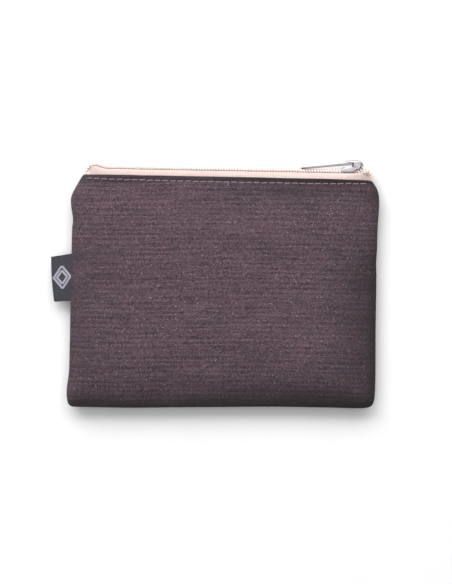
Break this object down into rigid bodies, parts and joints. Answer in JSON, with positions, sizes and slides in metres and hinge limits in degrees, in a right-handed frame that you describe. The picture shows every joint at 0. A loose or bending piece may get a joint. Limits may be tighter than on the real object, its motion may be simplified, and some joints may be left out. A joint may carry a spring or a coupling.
{
  "type": "zippered pouch",
  "caption": "Small flat cloth pouch with a zip along its top edge, a metal slider with a pull tab and a folded ribbon label in the side seam.",
  "frame": {"origin": "middle of the flat resting face of the back panel", "axes": "+X along the zip towards the shut end of the slider, +Y from the bottom seam up to the zip, +Z out of the front panel, away from the surface the pouch lies on"},
  "size_m": [0.1375, 0.1052, 0.011],
  "materials": {
    "outer_cloth": "aubergine brown slub plain weave, matt",
    "fleece": "white needled fleece",
    "lining_cloth": "dark plain lining, slight sheen",
    "zip_tape": "pale peach woven zip tape",
    "zip_coil": "pale peach nylon coil, satin",
    "zip_cord": "pale filler cord",
    "sewing_thread": "dusty mauve polyester thread",
    "slider_metal": "satin nickel plate on cast zinc",
    "spring_steel": "bare spring steel",
    "label_ribbon": null
  },
  "bodies": {
    "root": {"back_panel": "outer_cloth", "back_interlining": "fleece", "back_lining": "lining_cloth", "rear_zip_tape": "zip_tape", "rear_coil": "zip_coil", "rear_coil_cord": "zip_cord", "rear_topstitch": "sewing_thread", "side_seam_stitches": "sewing_thread", "front_tape_ends": "zip_tape", "front_coil_ends": "zip_coil"},
    "front": {"front_panel": "outer_cloth", "front_interlining": "fleece", "front_lining": "lining_cloth", "front_zip_tape": "zip_tape", "front_coil": "zip_coil", "front_coil_cord": "zip_cord", "front_topstitch": "sewing_thread"},
    "slider": {"slider_body": "slider_metal", "slider_cap": "slider_metal"},
    "lock": {"lock_spring": "spring_steel"},
    "pull": {"pull_tab": "slider_metal"},
    "label": {"side_label": "label_ribbon"}
  },
  "joints": [
    {"name": "mouth_open", "type": "hinge", "parent": "root", "child": "front", "pos_m": [0, -0.0485, 0.0055], "axis": [1, 0, 0], "range_deg": [0, 12]},
    {"name": "slider_travel", "type": "slide", "parent": "root", "child": "slider", "axis": [-1, 0, 0], "range_m": [0, 0.0998]},
    {"name": "lock_lift", "type": "slide", "parent": "slider", "child": "lock", "axis": [0, 1, 0], "range_m": [0, 0.0003], "stiffness_N_per_m": 50},
    {"name": "pull_pivot", "type": "hinge", "parent": "slider", "child": "pull", "pos_m": [0.0527, 0.0553, 0.0055], "axis": [0, 0, -1], "range_deg": [0, 175]},
    {"name": "label_flex", "type": "hinge", "parent": "root", "child": "label", "pos_m": [-0.06545, 0.0047, 0.0055], "axis": [0, 1, 0], "range_deg": [-30, 60], "stiffness_Nm_per_rad": 0.0002}
  ]
}
